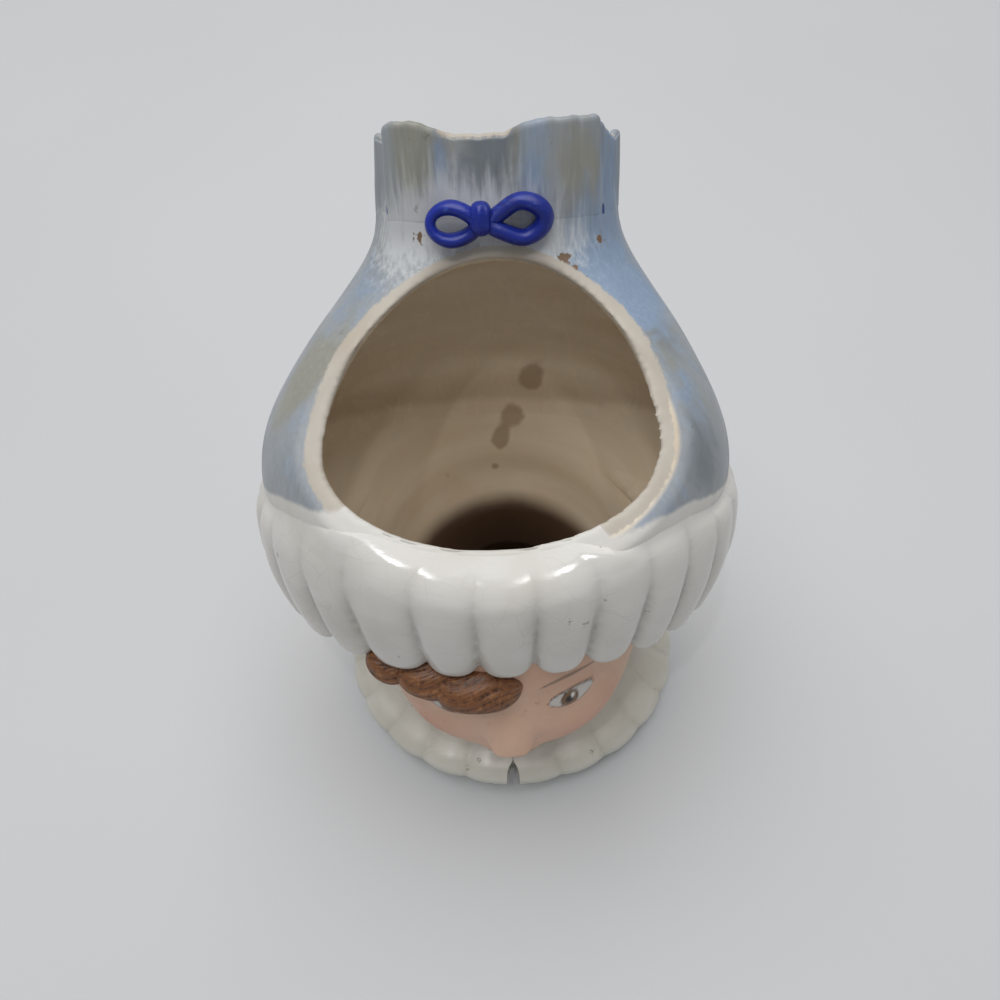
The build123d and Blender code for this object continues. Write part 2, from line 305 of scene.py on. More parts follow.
def prism(name, outline, low, high):
    us, ss = np.array(outline).T
    count = len(us)
    both = np.concatenate([mouthPoint(us, ss, low), mouthPoint(us, ss, high)])
    faces = [tuple(range(count))[::-1], tuple(range(count, 2 * count))]
    faces += [(i, (i + 1) % count, count + (i + 1) % count, count + i) for i in range(count)]
    return addMesh(name, both, faces, smooth=False)


def carve(obj, cutters, voxel, smoothing):
    for cutter in cutters:
        cut = obj.modifiers.new("cut", "BOOLEAN")
        cut.operation = "DIFFERENCE"
        cut.solver = "EXACT"
        cut.object = cutter
    remesh = obj.modifiers.new("remesh", "REMESH")
    remesh.mode = "VOXEL"
    remesh.voxel_size = voxel * mm
    smoother = obj.modifiers.new("smooth", "SMOOTH")
    smoother.factor = 0.5
    smoother.iterations = smoothing
    applyModifiers(obj)
    for cutter in cutters:
        bpy.data.objects.remove(cutter)


def rimShare(u, s):
    # 0 on the throat's edge, 1 where the brushed paint starts
    reach = np.where(s > mouth["throatMiddle"], mouth["throatBack"], mouth["throatFront"])
    across, along = (u - mouth["throatShift"]) / mouth["throatHalfWidth"], (s - mouth["throatMiddle"]) / reach
    turn = np.arctan2(along, across)
    radius = np.hypot(mouth["throatHalfWidth"] * np.cos(turn), reach * np.sin(turn))
    return (np.hypot(across, along) - 1.0) * radius / (4.5 - 2.0 * smoothstep(0.6, 1.0, np.sin(turn)))


# where the brushed paint stops above the cuff: degrees from the front, height on the cap
paintLine = [(-180.0, 19.5), (-100.0, 19.5), (-75.0, 23.0), (-57.0, 27.5), (-47.0, 28.7), (-38.0, 28.5),
             (-30.0, 40.0), (20.0, 40.0), (27.2, 22.6), (31.4, 23.7), (38.3, 25.9), (48.2, 26.7),
             (60.5, 24.1), (80.0, 20.5), (100.0, 19.5), (180.0, 19.5)]


def lineAt(degrees):
    return np.interp(degrees, *zip(*paintLine))


def makeCrown():
    angles = np.linspace(0, 2 * math.pi, 300, endpoint=False)
    rows = []
    for w in np.linspace(-3.0, 88.0, 101):
        rows.append(crownRing(angles, w, 0.5 * smoothstep(0.0, -3.0, w) + 2.4 * smoothstep(84.0, 90.0, w)))
    # the wall is thicker behind the cuff's front and round the mouth, and thin where the head laps over it
    front = smoothstep(-0.45, -0.95, np.sin(angles))
    for w in np.linspace(88.0, -3.0, 101):
        near, far = crownLevel(w)[1:]
        v = (near + far) / 2 + (far - near) / 2 * np.sin(angles)
        lift = (w - mouth["height"]) * slopeCos - (v - mouth["front"]) * slopeSin
        thick = wall - 2.6 * smoothstep(12.0, -3.0, w) + 3.2 * front * bump(w, 16.0, 9.0)
        thick = thick + 3.2 * bump(lift, -3.0, 6.0) * (1.0 - front)
        rows.append(crownRing(angles, w, thick))
    obj = addGrid("hatCrown", rows, closeRows=True)
    turn = np.linspace(0, math.pi, 60)
    rounded = zip(mouth["halfWidth"] * np.cos(turn), mouth["middle"] + mouth["backLength"] * np.sin(turn))
    square = [(-75.0, mouth["middle"]), (-75.0, -70.0), (75.0, -70.0), (75.0, mouth["middle"])]
    mouthCutter = prism("mouthCutter", list(rounded) + square, 0.0, 110.0)
    turn = np.linspace(0, 2 * math.pi, 140, endpoint=False)
    reach = np.where(np.sin(turn) > 0, mouth["throatBack"], mouth["throatFront"])
    across = mouth["throatShift"] + mouth["throatHalfWidth"] * np.cos(turn)
    egg = zip(across, mouth["throatMiddle"] + reach * np.sin(turn))
    throatCutter = prism("throatCutter", list(egg), -mouth["throatDepth"], 1.0)
    carve(obj, [mouthCutter, throatCutter], voxel=0.72, smoothing=14)
    spots = points(obj)
    u, v, w = toCap(spots)
    u = u - shiftAt(w)
    width, front, back = crownLevel(w)
    middle, depth = (front + back) / 2, (back - front) / 2
    angle = np.arctan2((v - middle) / depth, u / width)
    skin = np.hypot((width - wall / 2) * np.cos(angle), (depth - wall / 2) * np.sin(angle))
    # above 0 on the outer half of the wall, above the part that the cuff and the head hide
    setValue(obj, "outside", np.hypot(u, v - middle) - skin - 3.0 * smoothstep(15.0, 9.0, w))
    s, n = toMouth(spots)[1:]
    setValue(obj, "belowRim", -n)
    setValue(obj, "fromThroat", np.where(n < -22.0, 9.0, rimShare(u, s)))  # no rim on the back of the cap
    degrees = np.degrees(angle) + 90.0
    degrees = np.where(degrees > 180.0, degrees - 360.0, degrees)
    setValue(obj, "aboveLine", w - lineAt(degrees))
    setPaint(obj)
    return obj


# head casting: position along, y, z, lean, half width, half depth
headTable = [
    (0.0, 12.0, 27.0, 0.0, 26.0, 26.0), (1.0, 9.6, 31.0, -2.5, 27.0, 28.4),
    (2.0, 5.0, 35.8, -6.0, 30.4, 33.4), (3.0, 2.2, 41.4, -7.0, 35.0, 38.6),
    (4.0, 0.0, 48.0, -6.0, 39.0, 42.4), (5.5, 1.0, 60.0, 4.0, 42.0, 45.0),
    (7.0, 5.5, 72.0, 15.0, 43.5, 45.0), (9.0, 8.0, 86.0, 28.0, 46.0, 46.0)]


def headRing(angle, t, inset, lift):
    ts, ys, zs, leans, widths, depths = zip(*headTable)
    lean = np.radians(curveThrough(ts, leans, t))
    width, depth = curveThrough(ts, widths, t) - inset, curveThrough(ts, depths, t) - inset
    along = depth * np.sin(angle)
    y = curveThrough(ts, ys, t) + along * np.cos(lean)
    z = curveThrough(ts, zs, t) + lift - along * np.sin(lean)
    shift = bulgeShift * smoothstep(45.0, 84.0, z)
    return np.stack([width * np.cos(angle) + shift, y, z], -1)


face = {"eyeHeight": 71.5, "eyeApart": 17.0, "browHeight": 79.5, "noseTip": 58.5, "noseWidth": 3.7,
        "noseReach": 6.4, "lipHeight": 45.6, "lipHalfWidth": 8.0, "cheekReach": 3.0, "chinReach": 3.2}


def faceRelief(x, z):
    side = np.abs(x)
    relief = np.zeros_like(x)
    bridge = smoothstep(76.0, face["noseTip"], z) ** 1.4 * smoothstep(53.2, face["noseTip"], z)
    noseWidth = face["noseWidth"] - 0.6 * smoothstep(60.0, 74.0, z)
    relief += face["noseReach"] * bridge * np.exp(-0.5 * (x / noseWidth) ** 2)
    relief += 2.3 * bump(side, 4.3, 1.7) * bump(z, 56.6, 2.0)  # wings of the nose
    relief -= 1.0 * bump(side, 6.6, 1.3) * bump(z, 56.4, 2.2)
    relief -= 2.4 * bump(side, face["eyeApart"] - 1.0, 8.5) * bump(z, face["eyeHeight"] + 0.5, 5.2)  # sockets
    relief += 2.9 * bump(side, face["eyeApart"], 5.6) * bump(z, face["eyeHeight"], 3.4)  # lids
    relief += 0.9 * bump(side, face["eyeApart"] - 1.0, 9.0) * bump(z, face["browHeight"] + 1.0, 3.0)
    relief += face["cheekReach"] * bump(side, 21.0, 9.5) * bump(z, 54.5, 8.5)
    lip = face["lipHeight"]
    relief += 2.6 * bump(x, 0.0, 9.5) * bump(z, lip, 5.2)
    bow = 0.8 * np.exp(-0.5 * ((side - 2.6) / 1.6) ** 2)
    relief += 1.5 * bump(x, 0.0, 5.8) * bump(z, lip + 1.7 + bow * 0.4, 1.15)
    relief += 1.9 * bump(x, 0.0, 4.8) * bump(z, lip - 2.1, 1.5)
    relief -= 1.4 * smoothstep(9.5, 5.0, side) * bump(z, lip + 0.15 * side / 2.0 - 0.3, 0.6)
    relief -= 0.9 * bump(side, 9.2, 1.8) * bump(z, lip + 0.4, 1.8)
    relief -= 0.7 * bump(x, 0.0, 1.3) * bump(z, lip + 5.6, 2.4)
    relief -= 1.0 * bump(x, 0.0, 7.0) * bump(z, lip - 5.6, 1.7)
    relief += face["chinReach"] * bump(x, 0.0, 8.0) * bump(z, 37.0, 3.9)
    return relief


def makeHead():
    share = np.linspace(0, 1, 360, endpoint=False)
    angles = -math.pi / 2 + 2 * math.pi * share - 0.45 * np.sin(2 * math.pi * share)
    rows = [headRing(angles, t, 0.0, 0.0) for t in np.linspace(0.0, 9.0, 168)]
    rows += [crownRing(angles, w, 0.6 * w / 3.0) for w in (1.5, 3.0)]
    # from here up the skin is hidden in the cap's wall
    top = 12.5 + 10.0 * smoothstep(-0.8, -0.3, np.sin(angles))
    rows += [crownRing(angles, top * k, 1.8) for k in (0.4, 0.55, 0.7, 0.85, 1.0)]
    outer = np.array(rows)
    across = np.gradient(np.concatenate([outer[:, -2:], outer, outer[:, :2]], 1), axis=1)[:, 2:-2]
    along = np.gradient(outer, axis=0)
    normal = np.cross(across, along)
    normal /= np.linalg.norm(normal, axis=2, keepdims=True)
    facing = smoothstep(-8.0, -22.0, outer[..., 1])
    outer = outer + normal * (faceRelief(outer[..., 0], outer[..., 2]) * facing)[..., None]
    # the glaze of the hollow runs up over the seam, and the seam is rounded off
    inner = []
    for k in np.linspace(1.0, 0.03, 16):
        inner.append(crownRing(angles, top * k, wall + 0.2 - 1.8 * np.clip((k - 0.6) / 0.4, 0, 1) ** 2))
    for t in np.linspace(8.9, 0.0, 44):
        inner.append(headRing(angles, t, wall, wall * smoothstep(4.5, 2.0, t) * smoothstep(0.0, 1.2, t)))
    inner = np.array(inner)
    for _ in range(90):
        inner[7:-2] += 0.5 * ((inner[6:-3] + inner[8:-1]) / 2 - inner[7:-2])
    grid = np.concatenate([outer, inner])
    obj = addGrid("headShell", grid, closeRows=True)
    obj.data.set_sharp_from_angle(angle=math.radians(60))
    inside = np.concatenate([np.zeros(outer.shape[:2]), np.ones((len(inner), len(angles)))])
    setValue(obj, "inside", inside)
    setColor(obj, "facePaint", paintFace(grid.reshape(-1, 3), 1.0 - inside.ravel()))
    setPaint(obj, "stains")
    return obj


def stroke(apart, width):
    return np.exp(-((apart / width) ** 2))


def paintFace(spots, outside):
    x, y, z = spots.T
    side = np.abs(x)
    front = outside * smoothstep(-12.0, -20.0, y)
    color = np.zeros((len(x), 4))

    def layer(rgb, cover):
        cover = np.clip(cover, 0, 1)[:, None]
        color[:, :3] = color[:, :3] * (1 - cover) + np.array(rgb) * cover
        color[:, 3:] = color[:, 3:] + (1 - color[:, 3:]) * cover

    fromEye, aboveEye = side - face["eyeApart"], z - face["eyeHeight"]
    eyeX = fromEye / 6.3
    lidArch = np.sqrt(np.clip(1 - eyeX ** 2, 0, 1))
    eyeX = np.abs(eyeX)
    lidTop = face["eyeHeight"] + 3.0 * lidArch + 0.2
    lidLow = face["eyeHeight"] - 2.3 * lidArch + 0.2
    opening = smoothstep(0.25, -0.15, z - lidTop) * smoothstep(-0.25, 0.15, z - lidLow) * (eyeX < 1)
    iris = np.hypot(fromEye + 0.4, aboveEye - 0.3)
    glint = np.hypot(fromEye - 0.5, aboveEye - 1.3)
    layer((0.62, 0.58, 0.54), opening)
    layer((0.10, 0.055, 0.028), opening * smoothstep(2.75, 2.4, iris))
    layer((0.21, 0.115, 0.05), opening * smoothstep(2.3, 1.9, iris) * smoothstep(0.9, 1.3, iris))
    layer((0.012, 0.01, 0.01), opening * smoothstep(1.35, 1.05, iris))
    layer((0.8, 0.8, 0.8), opening * smoothstep(0.75, 0.45, glint))
    layer((0.045, 0.026, 0.016), 0.85 * stroke(z - lidTop, 0.34) * smoothstep(1.12, 1.0, eyeX))
    layer((0.20, 0.10, 0.065), 0.55 * stroke(z - lidLow, 0.3) * smoothstep(1.0, 0.85, eyeX))
    browLine = face["browHeight"] + 2.0 - 0.03 * fromEye ** 2 - 0.1 * fromEye
    browWidth = np.clip(0.85 - 0.05 * np.abs(fromEye), 0.25, 1)
    layer((0.13, 0.07, 0.035), 0.8 * stroke(z - browLine, browWidth) * smoothstep(9.5, 7.5, np.abs(fromEye)))
    lip = face["lipHeight"]
    taper = np.sqrt(np.clip(1 - (side / face["lipHalfWidth"]) ** 2, 0, 1))
    upper = lip + (2.6 + 0.55 * bump(side, 2.7, 1.4)) * taper
    lower = lip - 3.7 * taper
    lips = smoothstep(0.2, -0.2, z - upper) * smoothstep(-0.2, 0.2, z - lower) * (side < face["lipHalfWidth"])
    layer((0.47, 0.15, 0.12), 0.85 * lips)
    layer((0.22, 0.06, 0.05), 0.7 * stroke(z - lip - 0.07 * side, 0.35) * smoothstep(8.2, 6.5, side))
    layer((0.17, 0.075, 0.05), 0.6 * stroke(np.hypot((side - 2.7) / 1.1, (z - 54.9) / 0.7), 1.0))
    blush = bump(side, 22.0, 7.5) * bump(z, 53.5, 6.0)
    color[:, 3] *= front
    empty = color[:, 3] < 0.02
    color[empty, :3] = (0.58, 0.22, 0.13)
    color[:, 3] = np.maximum(color[:, 3], np.where(empty, 0.5 * blush * front, 0))
    return color


# rolled cuff: inset from its fullest outline and height, hem first, then up over the roll
cuff = {"halfWidth": 66.8, "halfDepth": 50.6, "offset": 1.0, "backSwell": 6.5, "ribDepth": 1.9,
        "ribSharpness": 3.2, "lobe": 0.8, "trim": 1.5,
        "profile": [(11.0, -13.6), (8.6, -15.3), (6.6, -15.6), (5.2, -14.4), (3.9, -11.0), (2.3, -5.5),
                    (1.05, 0.5), (0.3, 6.0), (0.0, 11.0), (0.4, 15.2), (1.5, 18.6)],
        "grooves": [-173.0, -160.0, -147.5, -135.0, -121.0, -108.0, -95.5, -82.5, -71.5, -60.5, -46.0, -33.0,
                    -17.5, -4.5, 8.6, 21.7, 34.3, 46.2, 58.5, 71.0, 84.0, 97.0, 109.5, 122.0, 135.0, 148.0,
                    160.5]}


def ribPhase(degrees):
    # -1 to 1 across each rib, with the groove it belongs to
    grooves = np.array(cuff["grooves"])
    ring = np.concatenate([grooves, [grooves[0] + 360.0]])
    turned = (degrees - grooves[0]) % 360.0 + grooves[0]
    i = np.clip(np.searchsorted(ring, turned, side="right") - 1, 0, len(grooves) - 1)
    return 2.0 * (turned - ring[i]) / (ring[i + 1] - ring[i]) - 1.0, i


def softTrim(level, limit, blend):
    # smooth lesser of the two heights
    gap = np.clip((blend - np.abs(level - limit)) / blend, 0.0, 1.0)
    return np.minimum(level, limit) - gap ** 2 * blend / 4.0


def cuffEdge(degrees, angles):
    # where the roll's glaze ends, on the cap's skin or at the front on the cut rim, and the bend on its way
    rim = np.full_like(angles, 20.0)
    for _ in range(30):
        fore, back = crownLevel(rim)[1:]
        v = (fore + back) / 2 + (back - fore) / 2 * np.sin(angles)
        rim = np.clip((rim + cutLevel(v)) / 2, 5.0, 60.0)
    near = smoothstep(-85.0, -60.0, degrees) * smoothstep(85.0, 60.0, degrees)
    level = np.minimum(lineAt(degrees) - 3.0 * near, rim)
    side = crownRing(angles, level, 0.25)
    u, s, n = toMouth(side)
    u, s = u - shiftAt(level) - mouth["throatShift"], s - mouth["throatMiddle"]
    share = smoothstep(-40.0, -31.0, degrees) * smoothstep(31.0, 22.0, degrees)
    reach = 1.03 / np.hypot(u / mouth["throatHalfWidth"], s / mouth["throatFront"])
    k = 1.0 + (reach - 1.0) * share
    n = n * (1.0 - share) - 0.2 * share
    front = mouthPoint(mouth["throatShift"] + u * k, mouth["throatMiddle"] + s * k, n)
    end = np.where(share[:, None] > 0, front, side)
    bend = crownRing(angles, level - 3.0, -0.4)
    over = smoothstep(-46.0, -34.0, degrees) * smoothstep(36.0, 25.0, degrees)
    bend = bend + (crownRing(angles, level + 1.0, -1.8) - bend) * over[:, None]
    return end, bend, near


def makeCuff():
    degrees = np.linspace(-180.0, 180.0, 756, endpoint=False)
    angles = np.radians(degrees - 90.0)
    phase, rib = ribPhase(degrees)
    rng = np.random.default_rng(7)
    ribSize = (0.75 + 0.5 * rng.random(len(cuff["grooves"])))[rib]
    insets, heights = np.array(cuff["profile"]).T
    steps = np.linspace(0, len(insets) - 1, 70)
    inset = curveThrough(range(len(insets)), insets, steps)
    height = curveThrough(range(len(insets)), heights, steps)
    behind = np.clip(np.sin(angles), 0, 1) ** 1.5

    def roll(e, w):
        hem = 0.9 * smoothstep(-8.0, -15.0, w) * np.abs(phase) ** 2
        u = (cuff["halfWidth"] - e) * np.cos(angles) + bulgeShift
        v = cuff["offset"] + (cuff["halfDepth"] - e) * np.sin(angles)
        v = v + cuff["backSwell"] * behind * smoothstep(6.0, -14.0, w)
        # the roll is trimmed where the mouth's flat cut crosses it
        return capPoint(u, v, softTrim(w + hem, cutLevel(v) + cuff["trim"], 9.0))

    rows, fades = [], []
    for e, w in zip(inset, height):
        rows.append(roll(e, w))
        fade = 0.7 * smoothstep(13.0, -2.0, w) + 0.3 * smoothstep(24.0, 14.0, w)
        fades.append(fade * smoothstep(12.0, 6.0, e) * ribSize)
    end, bend, near = cuffEdge(degrees, angles)
    start, behindBend = rows[-1], roll(3.2, 21.0)
    bend = behindBend + (bend - behindBend) * near[:, None]
    for k in np.linspace(0, 1, 24)[1:]:
        rows.append((1 - k) ** 2 * start + 2 * k * (1 - k) * bend + k ** 2 * end)
        fades.append(0.2 * (1 - k) ** 2 * ribSize)
    # the roll and the glaze that leads to the rim flow into each other
    skin = np.array(rows)
    for _ in range(60):
        skin[48:-1] += 0.5 * ((skin[47:-2] + skin[49:]) / 2 - skin[48:-1])
    rows = list(skin)
    # back down on the hidden side, just under the cap's skin
    for w in np.linspace(17.0, -12.0, 12):
        below = np.clip(-w / 13.5, 0.0, 2.0)
        width, front, back = crownLevel(max(w, 0.0))
        middle, depth = (front + back) / 2 + 4.4 * below, (back - front) / 2 - below - 1.6
        u = (width - 1.6 - 2.5 * below) * np.cos(angles) + bulgeShift
        v = middle + depth * np.sin(angles)
        rows.append(capPoint(u, v, np.minimum(w, cutLevel(v) - 1.0)))
        fades.append(np.zeros_like(v))
    obj = addGrid("hatCuff", rows, closeRows=True)
    setValue(obj, "phase", np.tile(phase, len(rows)))
    setValue(obj, "fade", fades)
    runTree(obj, ribs, {"Rib Depth": cuff["ribDepth"] * mm, "Sharpness": cuff["ribSharpness"],
                        "Lobe": cuff["lobe"] * mm})
    return obj


ruffle = {"height": 21.6, "frontRise": 2.8, "backDrop": 6.5, "flare": -0.7, "lip": 2.4, "crestRise": 1.6,
          "leftRise": 1.4, "rightRise": 1.3, "leftTuck": 1.3}


def makeRuffle():
    degrees = np.linspace(0.0, 360.0, 384, endpoint=False)
    angles = np.radians(degrees - 90.0)
    sweep = np.radians(degrees)
    wave = gatherWave(degrees)
    fine = 0.22 * np.sin(sweep * 23.0 + 1.3) + 0.16 * np.sin(sweep * 37.0)
    ragged = 0.06 * np.sin(sweep * 61.0) + 0.1 * np.sin(sweep * 29.0 + 2.0)
    front = -np.sin(angles)
    lean = ruffle["frontRise"] * smoothstep(0.05, 0.75, front)
    lean = lean - ruffle["backDrop"] * smoothstep(0.0, 0.8, -front)
    top = tie["height"] + ruffle["height"] + lean + ruffle["crestRise"] * wave + ragged
    top = top + ruffle["leftRise"] * bump(degrees, 276.0, 13.0)
    top = top + ruffle["rightRise"] * bump(degrees, 64.0, 9.0)

    def ring(inset, part, level=None):
        share = np.clip(part, 0, 1)
        w = tie["height"] + part * (top - tie["height"]) if level is None else level
        buried = 1.6 * smoothstep(84.2, 81.0, w)
        out = ruffle["flare"] * share ** 1.6 + fine * smoothstep(0.3, 0.8, share)
        out = out - ruffle["leftTuck"] * share * bump(degrees, 268.0, 20.0)
        return crownRing(angles, w, inset + buried - out)

    rows = []
    for k in (0.02, 0.5, 0.85):
        v = tie["offset"] + k * tie["halfDepth"] * np.sin(angles)
        rows.append(capPoint(k * tie["halfWidth"] * np.cos(angles), v, 75.0))
    rows += [ring(0.0, p) for p in np.linspace(-0.1, 0.955, 56)]
    for a in np.linspace(0.0, math.pi, 9):
        rows.append(ring(ruffle["lip"] / 2 * (1 - math.cos(a)), 1.0, top - 1.0 + math.sin(a)))
    rows += [ring(ruffle["lip"] + 0.8 * (1 - p), p) for p in np.linspace(0.93, 0.52, 18)]
    last = rows[-1]
    center = last.mean(0)
    sag = capPoint(0, 0, -1.2) - capPoint(0, 0, 0)
    for k in (0.9, 0.7, 0.45, 0.2, 0.02):
        rows.append(center + (last - center) * k + sag * (1 - k))
    obj = addGrid("capRuffle", rows)
    # same finish values as the crown's: the underside counts as hollow, the cup as bare rim
    share = np.concatenate([np.full(3, 9.0), np.linspace(6.0, 1.9, 56), np.linspace(1.8, 1.2, 9),
                            np.linspace(0.9, 0.0, len(rows) - 68)])[:, None]
    share = share - 0.75 * smoothstep(0.2, -0.6, wave) * smoothstep(3.0, 1.9, share)
    setValue(obj, "outside", np.repeat(np.where(np.arange(len(rows)) < 3, -3.0, 3.0), len(angles)))
    setValue(obj, "fromThroat", share)
    setValue(obj, "aboveLine", np.full(share.shape, 60.0))
    setPaint(obj)
    return obj


# bow: each loop is a rounded strap swept round a teardrop path, seen face-on from the front of the tie
bow = {"height": 85.4, "shift": -3.6, "standOff": 2.4, "depth": 5.4, "knot": (2.8, 3.5, 3.9),
       "left": {"center": -6.7, "rise": -0.9, "halfSize": (7.2, 5.6), "band": 3.6, "far": 0.72,
                "turn": -3.0, "pinch": 0.15},
       "right": {"center": 8.8, "rise": -1.6, "halfSize": (8.4, 6.3), "band": 4.0, "far": 1.12,
                 "turn": 6.0, "pinch": 0.5}}


def bowPoint(u, up, out):
    return capPoint(u + bow["shift"], tie["offset"] - tie["halfDepth"] - out, bow["height"] + up)


def makeLoop(name, loop):
    obj = addMesh(name, [(0, 0, 0), (1, 0, 0), (0, 1, 0)], [(0, 1, 2)])
    halfWidth, halfHeight = loop["halfSize"]
    runTree(obj, strap, {"Half Width": halfWidth * mm, "Half Height": halfHeight * mm, "Pinch": loop["pinch"],
                         "Band": loop["band"] * mm, "Depth": bow["depth"] * mm, "Far": loop["far"],
                         "Side": math.copysign(1.0, loop["center"])})
    x, y, z = points(obj).T
    turn = math.radians(loop["turn"])
    u = (loop["center"] + x) * math.cos(turn) - y * math.sin(turn)
    up = loop["rise"] + (abs(loop["center"]) + x) * math.sin(turn) + y * math.cos(turn)
    obj.data.vertices.foreach_set("co", (bowPoint(u, up, bow["standOff"] + z) * mm).ravel())
    turnOutwards(obj)
    return obj


def makeKnot():
    rows = []
    wide, deep, tall = bow["knot"]
    around = np.linspace(0, 2 * math.pi, 64, endpoint=False)
    cs, sn = np.cos(around), np.sin(around)
    across, out = np.sign(cs) * np.abs(cs) ** 0.8, np.sign(sn) * np.abs(sn) ** 0.8
    for b in np.linspace(-math.pi / 2 + 0.03, math.pi / 2 - 0.03, 34):
        ring, rise = abs(math.cos(b)) ** 0.75, math.copysign(abs(math.sin(b)) ** 0.8, b)
        squeeze = 1.0 - 0.10 * bump(rise, 0.0, 0.35)
        u = wide * squeeze * ring * across
        crease = 0.28 * np.cos(u * 2.6 + 0.5) * (sn > 0) * ring
        rows.append(bowPoint(u, tall * rise, bow["standOff"] + 0.8 + deep * ring * out + crease))
    return addGrid("bowKnot", rows)


# hair locks under the cuff: middle, half sizes, turn about the view axis in degrees, number of combed strands
locks = {"fringe_lock_front": ((-8.2, -37.5, 84.2), (12.0, 7.8, 6.3), 9.0, 15),
         "fringe_lock_middle": ((-19.4, -34.6, 85.0), (10.0, 7.0, 5.9), 14.0, 12),
         "fringe_lock_side": ((-30.4, -30.2, 84.3), (7.8, 6.4, 5.6), 22.0, 10)}


def makeLock(name, middle, half, turn, strands):
    along = np.linspace(-0.995, 0.995, 84)
    around = np.linspace(0, 2 * math.pi, 140, endpoint=False)
    rows, ridges = [], []
    for t in along:
        ring = math.sqrt(1 - t * t)
        sweep = around + 0.35 * t + 0.12 * math.sin(3.4 * t)
        comb = np.abs(np.sin(sweep * strands / 2 + 1.3 * np.sin(2.0 * around + 2.6 * t))) ** 0.8
        fine = np.abs(np.sin(sweep * strands * 1.5 + 2.0 * t + 0.4))
        lump = np.sin(2.0 * around + 3.1 * t + middle[0])
        grow = 1.0 + (0.035 * comb + 0.02 * fine + 0.04 * lump - 0.03) * smoothstep(0.0, 0.35, ring)
        curl = 0.10 * math.sin(t * 2.6)
        x = half[0] * t
        y = half[1] * ring * np.cos(around) * grow
        z = half[2] * (ring * np.sin(around) * grow + curl)
        c, s = math.cos(math.radians(turn)), math.sin(math.radians(turn))
        rows.append(np.stack([middle[0] + x * c + z * s, middle[1] + y, middle[2] - x * s + z * c], -1))
        ridges.append(comb * 0.7 + fine * 0.3)
    obj = addGrid(name, rows)
    setValue(obj, "ridge", ridges)
    return obj


# collar half: profile from the neck seat out over the slope, round the scalloped lip and back under
collar = {"profile": [(26.2, 26.9, 12.0), (29.2, 27.0, 12.0), (32.5, 25.2, 10.6), (37.0, 22.6, 8.6),
                      (43.0, 19.4, 5.6), (50.0, 16.9, 2.4), (55.0, 15.6, 0.5), (57.6, 14.1, 0.0),
                      (58.5, 11.8, 0.0), (58.2, 9.2, 0.0), (57.0, 7.4, 0.0), (54.5, 7.1, 0.0),
                      (50.5, 8.2, 0.0), (48.0, 10.5, 0.0), (47.7, 12.8, 0.0), (42.0, 16.6, 3.3),
                      (34.0, 21.8, 7.6)],
          "squash": 0.855, "lobes": 11, "lobeDepth": 0.9, "lobeSharpness": 2.0, "notchHalfWidth": 2.2,
          "notchLength": 6.0, "gap": 0.12}


def makeCollarHalf(name, side):
    columns = np.array(collar["profile"]).T
    count = len(collar["profile"])
    steps = np.linspace(0, count - 1, 96)
    reach, height, offset = (curveThrough(range(count), column, steps) for column in columns)
    share = np.linspace(0, 1, 300)
    share = share + 0.03 * np.sin(2 * math.pi * share)
    # depth from the lip at the front, so that each ring starts on the edge of the split
    deep = reach * (collar["squash"] + (1 - collar["squash"]) * smoothstep(50.0, 30.0, reach))
    fromLip = np.clip(50.0 - (deep - offset), 0, None)
    split = collar["notchHalfWidth"] * np.sqrt(np.clip(1 - (fromLip / collar["notchLength"]) ** 2, 0, 1))
    start = np.arcsin(np.clip(np.maximum(split, collar["gap"]) / reach, 0, 1))
    rows, phases, fades = [], [], []
    for s in share:
        angle = start + s * (math.pi - 0.002 - start)
        rows.append(np.stack([side * reach * np.sin(angle), offset - deep * np.cos(angle), height], -1))
        phases.append((angle / math.pi * collar["lobes"]) % 1.0 * 2 - 1)
        fades.append(smoothstep(40.0, 57.0, reach) * smoothstep(0.0, 0.06, s) * smoothstep(1.0, 0.97, s))
    obj = addGrid(name, rows)
    setValue(obj, "phase", phases)
    setValue(obj, "fade", fades)
    runTree(obj, ribs, {"Rib Depth": collar["lobeDepth"] * mm, "Sharpness": collar["lobeSharpness"],
                        "Lobe": 0.0})
    obj.data.set_sharp_from_angle(angle=math.radians(65))
    return obj


# bust: outside from the foot to the neck, then the hollow, half width, half depth, offset, height
bust = {"outside": [(0.5, 0.5, 0.0, 0.0), (42.5, 37.8, 0.0, 0.0), (44.6, 39.6, 0.0, 0.15),
                    (45.6, 40.5, 0.0, 0.9), (48.0, 42.5, 0.0, 5.0), (48.2, 42.7, 0.0, 9.0),
                    (48.0, 42.5, 0.0, 13.0), (37.0, 34.2, 6.0, 20.0), (26.0, 26.0, 12.0, 27.0)],
        "hollow": [(21.7, 21.7, 12.0, 27.0), (32.7, 29.9, 6.0, 18.6), (43.5, 38.0, 0.0, 12.0),
                   (43.3, 37.8, 0.0, 6.6), (41.5, 36.0, 0.0, 5.0), (0.5, 0.5, 0.0, 5.0)]}


def makeBust():
    angles = np.linspace(0, 2 * math.pi, 180, endpoint=False)
    steps = 9
    rows = []
    for table in (np.array(bust["outside"]), np.array(bust["hollow"])):
        levels = []
        for low, high in zip(table[:-1], table[1:]):
            levels += [low + (high - low) * k for k in np.linspace(0, 1, steps, endpoint=False)]
        for a, b, offset, z in levels + [table[-1]]:
            x, y = a * np.cos(angles), offset + b * np.sin(angles)
            rows.append(np.stack([x, y, np.full_like(angles, z)], -1))
    obj = addGrid("bustBase", rows)
    # the hollow rows, which the glaze colours dark brown as painted shade
    hidden = np.arange(len(rows)) > (len(bust["outside"]) - 1) * steps
    setValue(obj, "hidden", np.repeat(hidden, len(angles)))
    obj.data.set_sharp_from_angle(angle=math.radians(50))
    return obj


